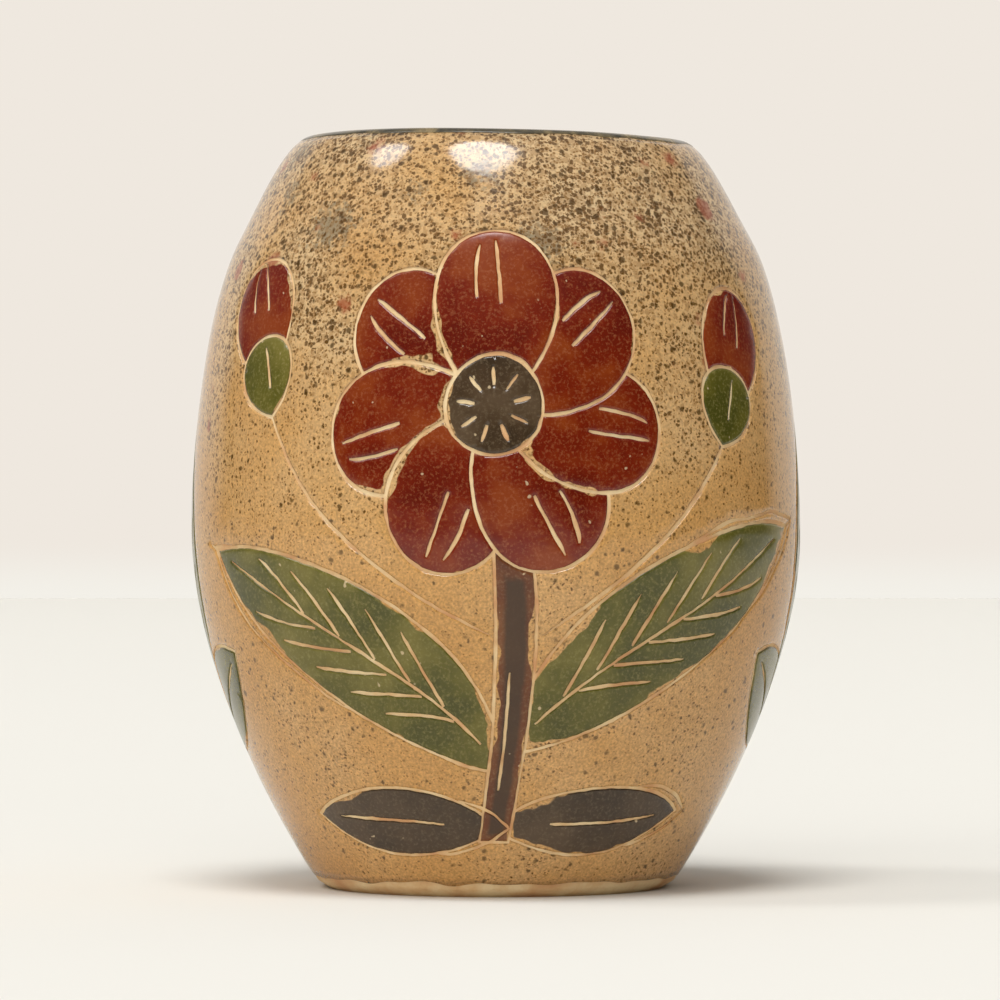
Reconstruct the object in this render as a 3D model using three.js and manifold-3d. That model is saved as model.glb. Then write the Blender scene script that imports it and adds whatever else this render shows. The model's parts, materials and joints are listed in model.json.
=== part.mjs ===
// A small thrown pottery vase. The pale clay body is barrel shaped, with a straight neck cone
// and a rounded lip. A burnished ground slip coats the outside, fields of coloured slip are let
// into the coat flush with it, and a dark slip covers the lip. The lines cut round the fields
// are the gaps between the slips, where the clay shows.
//
// Millimetres, +Z up, the foot stands on Z = 0, and the front of the drawing faces -Y.

import * as THREE from 'three';
import { mergeVertices } from 'three/addons/utils/BufferGeometryUtils.js';
import Module from 'manifold-3d';

// Finished outside of the pot
const HEIGHT = 72.5;
const NECK_HEIGHT = 10; // from the shoulder line to the top of the lip
const BELLY_HEIGHT = 34.5;
const BELLY_DIAMETER = 59;
const SHOULDER_DIAMETER = 50;
const MOUTH_DIAMETER = 40.6;
const FOOT_DIAMETER = 34;
const FOOT_FLARE = 33; // degrees from upright
const FOOT_BEVEL = 0.8;

// How far each curve of the section follows its end directions
const FOOT_PULL = 10;
const BELLY_PULL = 12.5;
const NECK_PULL = 5;
const LIP_PULL = 0.9;
const FLOOR_PULL = 6;

// Clay
const WALL = 3.6;
const FLOOR = 5;
const LIP_THICKNESS = 3.6;
const LIP_ROUND = 1.4;

// Slips
const SLIP_THICKNESS = 0.4;
const SLIP_BED = 0.15; // clearance between a slip and what it lies against
const FOOT_BARE = 2.4; // clay left bare above the foot
const LIP_LAP = 1.1; // dark slip on the outside of the lip
const LIP_DEPTH = 3.5; // dark slip down the inside
const LINE_WIDTH = 0.5; // incised line

// The flat sheet on which the drawing is made before it is wrapped round the wall, with one
// plant to each panel and a sprig between the panels
const PANEL_WIDTH = 92.5;
const HEAD_ROOM = 12; // bare ground between the bloom and the lip
const PLANTS = ['front', 'back'];
const SPRIGS = ['right', 'left'];

// Bloom and stem, in millimetres on the sheet
const BLOOM_HEIGHT = 48.5;
const BLOOM_RADIUS = 16.5;
const SEED_RADIUS = 4.6;
const PETAL_COUNT = 7;
const PETAL_WIDTH = 12;
const STEM_WIDTH = 3.6;
const STEM_FOOT = 6.5;
const STEM_BOW = 4;

// Leaves and blades that grow from the stem
const LEAF_ROOT = 15;
const LEAF_REACH = 34;
const LEAF_RISE = 21;
const LEAF_WIDTH = 11.5;
const LEAF_BEND = 2.5;
const LEAF_STAGGER = 2; // how much higher the right leaf starts
const BLADE_ROOT = 8;
const BLADE_REACH = 26;
const BLADE_RISE = 1;
const BLADE_WIDTH = 7;

// Buds in their calyxes
const BUD_REACH = 25.5;
const BUD_HEIGHT = 49.5;
const BUD_STAGGER = 3; // how much higher the left bud sits
const BUD_LENGTH = 12;
const BUD_WIDTH = 9;
const BUD_LEAN = 18; // degrees
const CALYX_DROP = 3.5;
const CALYX_LENGTH = 7.5;
const CALYX_WIDTH = 7;

// Sprigs of three leaflets
const SPRIG_HEIGHT = 16;
const SPRIG_LENGTH = 33;
const SPRIG_WIDTH = 11;
const SIDE_LENGTH = 16;
const SIDE_WIDTH = 8;
const SIDE_SPREAD = 55; // degrees

// Where the handles of an outline's curves stand along its length
const ROUND_TOP = { low: 0.3, high: 0.98 };
const POINTED = { low: 0.25, high: 0.7 };
const CUBIC_BULGE = 0.75; // a cubic curve bulges this far towards two level handles

// Fineness of the facets
const SEGMENTS = 36;
const OUTLINE_STEP = 3.8;
const CURVE_STEPS = { lowerWall: 4, upperWall: 4, neck: 1, lip: 2, floor: 1 };
const MITRE_REACH = 1.25; // keeps the line round a pointed tip from growing into a spike

const coat = SLIP_THICKNESS + SLIP_BED;
const radians = THREE.MathUtils.degToRad;
const v2 = (x, y) => new THREE.Vector2(x, y);
const wasm = await Module();
wasm.setup();

// Finished half section of the pot, from the foot up the outside, over the lip and down the
// inside to the middle of the floor. Each curve leaves and arrives along a given direction, so
// that it meets the next one smoothly.
function potSection() {
  const curve = (steps, from, leave, arrive, to) => {
    const handles = [from.clone().add(leave), to.clone().sub(arrive)];
    return [new THREE.CubicBezierCurve(from, ...handles, to), steps];
  };
  const line = (steps, from, to) => [new THREE.LineCurve(from, to), steps];

  const inset = WALL + 2 * coat;
  const foot = v2(FOOT_DIAMETER / 2, 0);
  const belly = v2(BELLY_DIAMETER / 2, BELLY_HEIGHT);
  const shoulder = v2(SHOULDER_DIAMETER / 2, HEIGHT - NECK_HEIGHT);
  const lipOutside = v2(MOUTH_DIAMETER / 2, HEIGHT - LIP_ROUND);
  const lipTop = v2((MOUTH_DIAMETER - LIP_THICKNESS) / 2, HEIGHT);
  const lipInside = v2(MOUTH_DIAMETER / 2 - LIP_THICKNESS, HEIGHT - LIP_ROUND);
  const innerShoulder = v2(shoulder.x - inset, shoulder.y);
  const innerBelly = v2(belly.x - inset, belly.y);
  const floorEdge = v2(foot.x - inset, FLOOR + coat);
  const floorMiddle = v2(0, floorEdge.y);

  const flare = v2(Math.sin(radians(FOOT_FLARE)), Math.cos(radians(FOOT_FLARE)));
  const upNeck = lipOutside.clone().sub(shoulder).normalize();
  const downNeck = innerShoulder.clone().sub(lipInside).normalize();
  const upBelly = v2(0, BELLY_PULL);
  const downBelly = v2(0, -BELLY_PULL);
  const overLip = v2(-LIP_PULL, 0);
  const alongFloor = v2(-FLOOR_PULL, 0);
  const pull = (direction, length) => direction.clone().multiplyScalar(length);

  const { lowerWall, upperWall, neck, lip, floor } = CURVE_STEPS;
  return [
    curve(lowerWall, foot, pull(flare, FOOT_PULL), upBelly, belly),
    curve(upperWall, belly, upBelly, pull(upNeck, NECK_PULL), shoulder),
    line(neck, shoulder, lipOutside),
    curve(lip, lipOutside, pull(upNeck, LIP_PULL), overLip, lipTop),
    curve(lip, lipTop, overLip, pull(downNeck, LIP_PULL), lipInside),
    line(neck, lipInside, innerShoulder),
    curve(upperWall, innerShoulder, pull(downNeck, NECK_PULL), downBelly, innerBelly),
    curve(lowerWall, innerBelly, downBelly, alongFloor, floorEdge),
    line(floor, floorEdge, floorMiddle),
  ];
}

// The section measured along its length: stations to sample, and a point at any station and depth
const path = new THREE.CurvePath();
const stations = [];
const curveEnds = [];
let run = 0;
for (const [curve, steps] of potSection()) {
  path.add(curve);
  for (let i = 0; i < steps; i++) stations.push(run + (curve.getLength() * i) / steps);
  run += curve.getLength();
  curveEnds.push(run);
}
const lipCrest = curveEnds[3];
const floorStart = curveEnds[7];

function sectionPoint(station, depth = 0) {
  const t = station / path.getLength();
  const direction = path.getTangent(t);
  return path.getPoint(t).add(v2(-direction.y, direction.x).multiplyScalar(depth));
}

const stationsBetween = (from, to) => [from, ...stations.filter((s) => s > from && s < to), to];

// A closed geometry as a solid that can be joined and cut
function solidOf(geometry) {
  const bare = new THREE.BufferGeometry();
  bare.setAttribute('position', geometry.getAttribute('position'));
  bare.setIndex(geometry.index);
  const merged = mergeVertices(bare);
  const mesh = new wasm.Mesh({
    numProp: 3,
    vertProperties: merged.getAttribute('position').array,
    triVerts: new Uint32Array(merged.index.array),
  });
  return new wasm.Manifold(mesh);
}

// A lathed solid, turned from three.js' +Y axis onto +Z
const turned = (profile) => solidOf(new THREE.LatheGeometry(profile, SEGMENTS).rotateX(Math.PI / 2));

// A layer of slip over a stretch of the section
function slipRing(from, to) {
  const stretch = stationsBetween(from, to);
  const outside = stretch.map((s) => sectionPoint(s));
  const inside = stretch.map((s) => sectionPoint(s, SLIP_THICKNESS)).reverse();
  return turned([...outside, ...inside, outside[0]]);
}

function clayBody() {
  const wall = stationsBetween(FOOT_BEVEL, floorStart).map((s) => sectionPoint(s, coat));
  const foot = v2(wall[0].x - FOOT_BEVEL, 0);
  return turned([v2(0, 0), foot, ...wall, v2(0, FLOOR)]);
}

// Outlines of the drawing. Each is a closed ring of points on the sheet.
function ring(shape) {
  return shape.curves.flatMap((curve) => {
    const steps = Math.ceil(curve.getLength() / OUTLINE_STEP);
    return curve.getSpacedPoints(steps).slice(0, -1);
  });
}

// A petal, bud or leaf that points up from the origin, bent to its right
function bladeRing(length, width, handles, bend = 0) {
  const side = width / 2 / CUBIC_BULGE;
  const low = length * handles.low;
  const high = length * handles.high;
  const shape = new THREE.Shape();
  shape.moveTo(0, 0);
  shape.bezierCurveTo(bend + side, low, bend + side, high, 0, length);
  shape.bezierCurveTo(bend - side, high, bend - side, low, 0, 0);
  return ring(shape);
}

function discRing(radius) {
  const shape = new THREE.Shape();
  shape.absarc(0, 0, radius, 0, 2 * Math.PI);
  return ring(shape);
}

// Turns a ring by an angle in radians, clockwise from straight up, and sets its origin at a point
function placed(points, origin, angle = 0) {
  return points.map((p) => p.clone().rotateAround(v2(0, 0), -angle).add(origin));
}

// Moves every edge of a ring outwards
function grown(points, distance) {
  const outwards = THREE.ShapeUtils.isClockWise(points) ? -1 : 1;
  return points.map((p, i) => {
    const into = p.clone().sub(points.at(i - 1)).normalize();
    const outOf = points[(i + 1) % points.length].clone().sub(p).normalize();
    const bisector = v2(into.y + outOf.y, -into.x - outOf.x).normalize();
    const mitre = distance / bisector.dot(v2(into.y, -into.x));
    return p.clone().addScaledVector(bisector, outwards * Math.min(mitre, MITRE_REACH));
  });
}

const stem = new THREE.QuadraticBezierCurve(
  v2(0, STEM_FOOT),
  v2(STEM_BOW, (STEM_FOOT + BLOOM_HEIGHT) / 2),
  v2(0, BLOOM_HEIGHT),
);

const onStem = (height) => stem.getPoint(THREE.MathUtils.inverseLerp(STEM_FOOT, BLOOM_HEIGHT, height));

function stemRing() {
  const middle = stem.getSpacedPoints(Math.ceil(stem.getLength() / OUTLINE_STEP / 2));
  const half = v2(STEM_WIDTH / 2, 0);
  const rightSide = middle.map((p) => p.clone().add(half));
  const leftSide = middle.map((p) => p.clone().sub(half));
  return [...rightSide, ...leftSide.reverse()];
}

// A ring that grows sideways from a point of the stem; way is 1 to the right and -1 to the left
function branchRing(root, way, reach, rise, width, bend) {
  const blade = bladeRing(Math.hypot(reach, rise), width, POINTED, way * bend);
  return placed(blade, onStem(root), way * Math.atan2(reach, rise));
}

// One plant: a seed disc, overlapping petals, a stem, broad leaves, blades and two buds.
// The fields are listed from front to back, because each one stops at the lines cut before it.
function plant(side) {
  const fields = [];
  const add = (name, slip, points) => fields.push({ name: `${side}_${name}`, slip, points });
  const bloom = v2(0, BLOOM_HEIGHT);
  add('seed_disc', 'dark', placed(discRing(SEED_RADIUS), bloom));
  const petal = bladeRing(BLOOM_RADIUS, PETAL_WIDTH, ROUND_TOP);
  for (let i = 0; i < PETAL_COUNT; i++) {
    add(`petal_${i + 1}`, 'red', placed(petal, bloom, (2 * Math.PI * i) / PETAL_COUNT));
  }
  add('stem', 'brown', stemRing());
  for (const [hand, way] of [['right', 1], ['left', -1]]) {
    const leafRoot = LEAF_ROOT + (way * LEAF_STAGGER) / 2;
    add(`leaf_${hand}`, 'green', branchRing(leafRoot, way, LEAF_REACH, LEAF_RISE, LEAF_WIDTH, -LEAF_BEND));
    add(`blade_${hand}`, 'dark', branchRing(BLADE_ROOT, way, BLADE_REACH, BLADE_RISE, BLADE_WIDTH, 0));
    const lean = way * radians(BUD_LEAN);
    const budFoot = v2(way * BUD_REACH, BUD_HEIGHT - (way * BUD_STAGGER) / 2);
    const calyxFoot = v2(0, -CALYX_DROP).rotateAround(v2(0, 0), -lean).add(budFoot);
    add(`calyx_${hand}`, 'green', placed(bladeRing(CALYX_LENGTH, CALYX_WIDTH, ROUND_TOP), calyxFoot, lean));
    add(`bud_${hand}`, 'red', placed(bladeRing(BUD_LENGTH, BUD_WIDTH, ROUND_TOP), budFoot, lean));
  }
  return fields;
}

// Three leaflets that fill the wall between two plants
function sprig(side) {
  const root = v2(0, SPRIG_HEIGHT);
  const middle = bladeRing(SPRIG_LENGTH, SPRIG_WIDTH, POINTED);
  const flank = bladeRing(SIDE_LENGTH, SIDE_WIDTH, POINTED);
  const spread = radians(SIDE_SPREAD);
  return [
    { name: `${side}_sprig_middle`, slip: 'green', points: placed(middle, root) },
    { name: `${side}_sprig_right`, slip: 'green', points: placed(flank, root, spread) },
    { name: `${side}_sprig_left`, slip: 'green', points: placed(flank, root, -spread) },
  ];
}

// The cone of rays from a point on the pot's axis through a ring laid on the wall. Its sides are
// flat, so they cut clean edges, and it reaches from well inside the wall to well outside it.
function cutter(points, middle, turn) {
  const [start, end] = [0.5, 1.8]; // reach along each ray, where 1 is the wall
  const sheetWidth = PANEL_WIDTH * PLANTS.length;
  const sheetHeight = BLOOM_HEIGHT + BLOOM_RADIUS + HEAD_ROOM;
  const onWall = (height) => sectionPoint((height * lipCrest) / sheetHeight);
  const apex = new THREE.Vector3(0, 0, onWall(middle).y);
  const cone = new THREE.ExtrudeGeometry(new THREE.Shape(points), { depth: 1, bevelEnabled: false });
  const position = cone.getAttribute('position');
  for (let i = 0; i < position.count; i++) {
    const angle = turn + (2 * Math.PI * position.getX(i)) / sheetWidth;
    const { x: radius, y: height } = onWall(position.getY(i));
    const ray = new THREE.Vector3(radius * Math.sin(angle), -radius * Math.cos(angle), height).sub(apex);
    ray.multiplyScalar(THREE.MathUtils.lerp(start, end, position.getZ(i))).add(apex);
    position.setXYZ(i, ray.x, ray.y, ray.z);
  }
  return solidOf(cone);
}

// Clay and slips, as they look when burnished and fired
const fired = (color, roughness) => new THREE.MeshStandardMaterial({ color, roughness, metalness: 0 });
const materials = {
  clay: fired(0xe3c79b, 0.8),
  ground: fired(0xbd935a, 0.35),
  lip: fired(0x4c5048, 0.35),
  red: fired(0x8a3a20, 0.4),
  green: fired(0x5c6638, 0.4),
  brown: fired(0x6a3e2c, 0.4),
  dark: fired(0x48423a, 0.45),
};

const vase = new THREE.Group();
vase.name = 'vase';

// Adds a solid to the vase. Where lines have cut it into patches, each patch is a mesh.
function addPatches(name, solid, material) {
  const patches = solid.decompose().sort((a, b) => b.volume() - a.volume());
  patches.forEach((patch, i) => {
    const { vertProperties, triVerts } = patch.getMesh();
    const geometry = new THREE.BufferGeometry();
    geometry.setAttribute('position', new THREE.BufferAttribute(vertProperties, 3));
    geometry.setIndex(new THREE.BufferAttribute(triVerts, 1));
    geometry.computeVertexNormals();
    const mesh = new THREE.Mesh(geometry, material);
    mesh.name = i ? `${name}_patch_${i + 1}` : name;
    vase.add(mesh);
  });
}

addPatches('clay_body', clayBody(), materials.clay);
addPatches('lip_slip', slipRing(lipCrest - LIP_LAP + SLIP_BED, lipCrest + LIP_DEPTH), materials.lip);

// Each field is what its outline takes from the coat, less the lines of the fields before it
const pitch = (2 * Math.PI) / PLANTS.length;
const panels = [
  ...PLANTS.map((side, i) => [plant(side), i * pitch]),
  ...SPRIGS.map((side, i) => [sprig(side), (i + 0.5) * pitch]),
];
const outerCoat = slipRing(FOOT_BARE, lipCrest - LIP_LAP);
let ground = outerCoat;
for (const [fields, turn] of panels) {
  for (const { name, slip, points } of fields) {
    const middle = points.reduce((sum, p) => sum + p.y, 0) / points.length;
    addPatches(name, ground.intersect(cutter(points, middle, turn)), materials[slip]);
    ground = ground.subtract(cutter(grown(points, LINE_WIDTH), middle, turn));
  }
}
addPatches('ground_slip', ground, materials.ground);

export default vase;
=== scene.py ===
import json
import math

import bpy
import numpy as np
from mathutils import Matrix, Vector, geometry, kdtree, noise

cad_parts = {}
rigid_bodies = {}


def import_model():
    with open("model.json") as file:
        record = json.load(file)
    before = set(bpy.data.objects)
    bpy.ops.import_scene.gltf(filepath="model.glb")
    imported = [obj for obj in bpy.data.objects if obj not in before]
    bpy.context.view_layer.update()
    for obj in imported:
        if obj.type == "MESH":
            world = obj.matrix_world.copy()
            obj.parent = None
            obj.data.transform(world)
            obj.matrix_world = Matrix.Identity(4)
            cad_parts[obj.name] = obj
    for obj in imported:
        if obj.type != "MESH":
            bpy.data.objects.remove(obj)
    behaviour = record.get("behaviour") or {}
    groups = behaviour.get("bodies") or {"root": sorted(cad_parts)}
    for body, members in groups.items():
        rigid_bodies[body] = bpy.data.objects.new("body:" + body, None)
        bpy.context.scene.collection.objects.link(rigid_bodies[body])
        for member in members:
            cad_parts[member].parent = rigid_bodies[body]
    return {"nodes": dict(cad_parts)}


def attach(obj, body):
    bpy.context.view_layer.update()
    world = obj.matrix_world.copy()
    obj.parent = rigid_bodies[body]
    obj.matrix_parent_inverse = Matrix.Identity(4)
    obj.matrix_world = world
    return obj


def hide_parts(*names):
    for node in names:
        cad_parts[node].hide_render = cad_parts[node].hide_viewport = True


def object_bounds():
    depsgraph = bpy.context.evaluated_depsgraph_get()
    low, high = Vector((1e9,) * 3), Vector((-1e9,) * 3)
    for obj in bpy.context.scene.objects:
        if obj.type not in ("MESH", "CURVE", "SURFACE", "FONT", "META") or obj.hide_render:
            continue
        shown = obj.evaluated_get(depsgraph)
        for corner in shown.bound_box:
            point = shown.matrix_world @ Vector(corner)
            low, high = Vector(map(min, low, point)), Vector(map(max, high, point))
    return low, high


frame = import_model()
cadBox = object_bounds()

mm = 0.001  # sizes are written in millimetres and meshes are in metres
fullTurn = 2 * math.pi
print("frame loaded:", len(frame["nodes"]), "nodes")


# Small helpers

def addNode(tree, kind, links=None, values=None, **settings):
    # a link is a socket, or a node for its first output
    node = tree.nodes.new(kind)
    for name, value in settings.items():
        setattr(node, name, value)
    for name, value in (values or {}).items():
        node.inputs[name].default_value = value
    for name, source in (links or {}).items():
        socket = source.outputs[0] if isinstance(source, bpy.types.Node) else source
        tree.links.new(socket, node.inputs[name])
    return node


def hexColour(code):
    channels = [int(code[i:i + 2], 16) / 255 for i in (1, 3, 5)]
    linear = [c / 12.92 if c <= 0.04045 else ((c + 0.055) / 1.055) ** 2.4 for c in channels]
    return (*linear, 1.0)


def perMetre(size):
    return 1 / (size * mm)  # texture scale for a grain of this many millimetres


def newMaterial(name):
    material = bpy.data.materials.new(name)
    material.use_nodes = True
    tree = material.node_tree
    return material, tree, tree.nodes["Principled BSDF"]


# The section of the pot, as cubic curves from under the foot, up the wall, over the lip and
# down the inside to the middle of the floor

pot = {
    "height": (cadBox[1].z - cadBox[0].z) / mm,
    "bellyDiameter": (cadBox[1].x - cadBox[0].x) / mm,
    "bellyHeight": 34.5,
    "neckHeight": 10.0,
    "shoulderDiameter": 50.0,
    "mouthDiameter": 41.0,
    "footDiameter": 34.0,
    "footFlare": 33.0,  # degrees from upright
    "wall": 4.7,
    "floor": 5.55,
    "lipThickness": 3.6,
    "lipRound": 1.4,
    "outerRound": 7.0,
    "crestInset": 2.4,  # how far the top of the lip lies inside the mouth's outer edge
    "footPull": 10.0,  # how far each curve follows its end direction
    "bellyPull": 12.5,
    "neckPull": 5.0,
    "lipPull": 0.9,
    "outerPull": 2.2,
    "crestPull": 1.9,
    "floorPull": 6.0,
}


def cubicAt(segment, t):
    a, b, c, d = segment
    s = 1 - t
    return a * s ** 3 + b * (3 * s * s * t) + c * (3 * s * t * t) + d * t ** 3


def curveLength(segment, steps=400):
    points = [cubicAt(segment, i / steps) for i in range(steps + 1)]
    return sum((b - a).length for a, b in zip(points, points[1:]))


def potSection():
    def curve(start, leave, arrive, end):
        return (start, start + leave, end - arrive, end)

    def line(start, end):
        third = (end - start) / 3
        return (start, start + third, end - third, end)

    footMiddle = Vector((0, 0))
    foot = Vector((pot["footDiameter"] / 2, 0))
    belly = Vector((pot["bellyDiameter"] / 2, pot["bellyHeight"]))
    shoulder = Vector((pot["shoulderDiameter"] / 2, pot["height"] - pot["neckHeight"]))
    mouth = Vector((pot["mouthDiameter"] / 2, pot["height"] - pot["lipRound"]))
    upToRound = (pot["neckHeight"] - pot["outerRound"]) / (pot["neckHeight"] - pot["lipRound"])
    lipOutside = shoulder.lerp(mouth, upToRound)
    lipTop = Vector((pot["mouthDiameter"] / 2 - pot["crestInset"], pot["height"]))
    lipInside = mouth - Vector((pot["lipThickness"], 0))
    innerShoulder = shoulder - Vector((pot["wall"], 0))
    innerBelly = belly - Vector((pot["wall"], 0))
    floorEdge = Vector((foot.x - pot["wall"], pot["floor"]))
    floorMiddle = Vector((0, pot["floor"]))

    flare = math.radians(pot["footFlare"])
    footWay = Vector((math.sin(flare), math.cos(flare))) * pot["footPull"]
    upBelly = Vector((0, pot["bellyPull"]))
    upNeck = (mouth - shoulder).normalized()
    downNeck = (innerShoulder - lipInside).normalized()
    ontoLip = Vector((-pot["crestPull"], 0))
    overLip = Vector((-pot["lipPull"], 0))
    alongFloor = Vector((-pot["floorPull"], 0))
    return [
        line(footMiddle, foot),
        curve(foot, footWay, upBelly, belly),
        curve(belly, upBelly, upNeck * pot["neckPull"], shoulder),
        line(shoulder, lipOutside),
        curve(lipOutside, upNeck * pot["outerPull"], ontoLip, lipTop),
        curve(lipTop, overLip, downNeck * pot["lipPull"], lipInside),
        line(lipInside, innerShoulder),
        curve(innerShoulder, downNeck * pot["neckPull"], -upBelly, innerBelly),
        curve(innerBelly, -upBelly, alongFloor, floorEdge),
        line(floorEdge, floorMiddle),
    ]


def sectionCurve(segments, resolution=48):
    data = bpy.data.curves.new("wallSection", "CURVE")
    data.dimensions = "3D"
    spline = data.splines.new("BEZIER")
    spline.bezier_points.add(len(segments))
    spline.resolution_u = resolution

    def place(point):
        return (point.x * mm, 0, point.y * mm)

    for i, knot in enumerate(spline.bezier_points):
        before = segments[max(i - 1, 0)]
        after = segments[min(i, len(segments) - 1)]
        knot.handle_left_type = knot.handle_right_type = "FREE"
        knot.co = place(after[0] if i < len(segments) else before[3])
        knot.handle_left = place(before[2] if i else after[0])
        knot.handle_right = place(after[1] if i < len(segments) else before[3])
    curve = bpy.data.objects.new("wallSection", data)
    bpy.context.scene.collection.objects.link(curve)
    return curve


section = potSection()
lengths = [curveLength(segment) for segment in section]
footStation = lengths[0]
crest = sum(lengths[1:5])  # along the wall, from the foot to the top of the lip
wallEnd = sum(lengths[1:])
wallSection = sectionCurve(section)
print(f"section: {crest:.2f} mm up the wall, {wallEnd:.2f} mm to the middle of the floor")


# Every piece is drawn flat, with X round the pot, Y up the wall and Z out of it. One tree of
# Geometry Nodes wraps the flat piece round the pot and gives it the unevenness of a thrown wall.

wrap = {
    "Sheet width": 185.0 * mm,
    "Foot station": footStation * mm,
    "Unevenness": 0.5 * mm,
    "Uneven over": 26.0 * mm,
    "Settles below": 7.0 * mm,  # the foot stays flat
    "Seed": 4.0,
    "Lip tilt right": -0.013,  # rise for each unit of way, near the lip only
    "Lip tilt back": -0.008,
    "Tilt from": 58.0 * mm,
    "Tilt full": 72.0 * mm,
}


def wrapTree():
    tree = bpy.data.node_groups.new("wrapRoundPot", "GeometryNodeTree")
    sockets = tree.interface
    sockets.new_socket("Geometry", in_out="INPUT", socket_type="NodeSocketGeometry")
    inputs = {"Section": "NodeSocketObject", "Finish": "NodeSocketMaterial"}
    inputs.update({name: "NodeSocketFloat" for name in wrap})
    for name, kind in inputs.items():
        inputs[name] = sockets.new_socket(name, in_out="INPUT", socket_type=kind).identifier
    sockets.new_socket("Geometry", in_out="OUTPUT", socket_type="NodeSocketGeometry")
    given = addNode(tree, "NodeGroupInput").outputs

    # round the pot and up its section
    flat = addNode(tree, "GeometryNodeInputPosition")
    sheet = addNode(tree, "ShaderNodeSeparateXYZ", {0: flat}).outputs
    turns = addNode(tree, "ShaderNodeMath", {0: sheet["X"], 1: given["Sheet width"]}, operation="DIVIDE")
    angle = addNode(tree, "ShaderNodeMath", {0: turns}, {1: fullTurn, 2: -fullTurn / 4},
                    operation="MULTIPLY_ADD")
    station = addNode(tree, "ShaderNodeMath", {0: sheet["Y"], 1: given["Foot station"]}, operation="ADD")
    curve = addNode(tree, "GeometryNodeObjectInfo", {"Object": given["Section"]})
    onWall = addNode(tree, "GeometryNodeSampleCurve",
                     {"Curves": curve.outputs["Geometry"], "Length": station},
                     mode="LENGTH", use_all_curves=True)
    along = addNode(tree, "ShaderNodeSeparateXYZ", {0: onWall.outputs["Tangent"]}).outputs
    drop = addNode(tree, "ShaderNodeMath", {0: along["X"]}, {1: -1.0}, operation="MULTIPLY")
    outwards = addNode(tree, "ShaderNodeCombineXYZ", {"X": along["Z"], "Z": drop})
    lifted = addNode(tree, "ShaderNodeVectorMath",
                     {0: outwards, 1: sheet["Z"], 2: onWall.outputs["Position"]},
                     operation="MULTIPLY_ADD")
    turned = addNode(tree, "ShaderNodeVectorRotate",
                     {"Vector": lifted, "Angle": angle}, rotation_type="Z_AXIS")

    # unevenness that fades out towards the foot
    grain = addNode(tree, "ShaderNodeMath", {1: given["Uneven over"]}, {0: 1.0}, operation="DIVIDE")
    lumps = addNode(tree, "ShaderNodeTexNoise",
                    {"Vector": turned, "W": given["Seed"], "Scale": grain},
                    {"Detail": 1.0}, noise_dimensions="4D")
    centred = addNode(tree, "ShaderNodeVectorMath", {0: lumps.outputs["Color"]}, {1: (0.5, 0.5, 0.5)},
                      operation="SUBTRACT")
    height = addNode(tree, "ShaderNodeSeparateXYZ", {0: turned}).outputs["Z"]
    free = addNode(tree, "ShaderNodeMapRange", {"Value": height, "From Max": given["Settles below"]},
                   interpolation_type="SMOOTHSTEP")
    amount = addNode(tree, "ShaderNodeMath", {0: free, 1: given["Unevenness"]}, operation="MULTIPLY")
    thrown = addNode(tree, "ShaderNodeVectorMath", {0: centred, 1: amount, 2: turned},
                     operation="MULTIPLY_ADD")

    # a lip that isn't quite level
    at = addNode(tree, "ShaderNodeSeparateXYZ", {0: thrown}).outputs
    nearLip = addNode(tree, "ShaderNodeMapRange",
                      {"Value": at["Z"], "From Min": given["Tilt from"], "From Max": given["Tilt full"]},
                      interpolation_type="SMOOTHSTEP")
    riseRight = addNode(tree, "ShaderNodeMath", {0: at["X"], 1: given["Lip tilt right"]},
                        operation="MULTIPLY")
    rise = addNode(tree, "ShaderNodeMath",
                   {0: at["Y"], 1: given["Lip tilt back"], 2: riseRight}, operation="MULTIPLY_ADD")
    lift = addNode(tree, "ShaderNodeMath", {0: rise, 1: nearLip}, operation="MULTIPLY")
    upwards = addNode(tree, "ShaderNodeCombineXYZ", {"Z": lift})
    tilted = addNode(tree, "ShaderNodeVectorMath", {0: thrown, 1: upwards})

    moved = addNode(tree, "GeometryNodeSetPosition", {"Geometry": given["Geometry"], "Position": tilted})
    welded = addNode(tree, "GeometryNodeMergeByDistance", {"Geometry": moved}, {"Distance": 0.001 * mm})
    smooth = addNode(tree, "GeometryNodeSetShadeSmooth", {"Geometry": welded})
    real = addNode(tree, "GeometryNodeRealizeInstances", {"Geometry": smooth})
    painted = addNode(tree, "GeometryNodeSetMaterial", {"Geometry": real, "Material": given["Finish"]})
    addNode(tree, "NodeGroupOutput", {"Geometry": painted})
    return tree, inputs


potTree, potInputs = wrapTree()


def wrapPiece(name, corners, faces, finish, nodes, fromEdge=None):
    mesh = bpy.data.meshes.new(name)
    mesh.from_pydata(np.asarray(corners) * mm, [], faces)
    if fromEdge is not None:
        mesh.attributes.new("fromEdge", "FLOAT", "POINT").data.foreach_set("value", fromEdge)
    piece = bpy.data.objects.new(name, mesh)
    bpy.context.scene.collection.objects.link(piece)
    modifier = piece.modifiers.new("wrap", "NODES")
    modifier.node_group = potTree
    modifier[potInputs["Section"]] = wallSection
    modifier[potInputs["Finish"]] = finish
    for key, value in wrap.items():
        modifier[potInputs[key]] = value
    depsgraph = bpy.context.evaluated_depsgraph_get()
    wrapped = bpy.data.meshes.new_from_object(
        piece.evaluated_get(depsgraph), preserve_all_data_layers=True, depsgraph=depsgraph)
    piece.modifiers.clear()
    piece.data = wrapped
    wrapped.name = name
    bpy.data.meshes.remove(mesh)
    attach(piece, "root")
    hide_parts(*nodes)
    return piece


# Materials

noiseSpan = {"From Min": 0.3, "From Max": 0.7}  # where nearly all of a noise lies
shadeStops = (0.36, 0.5, 0.64)  # where the three shades of a mottled colour stand


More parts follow.
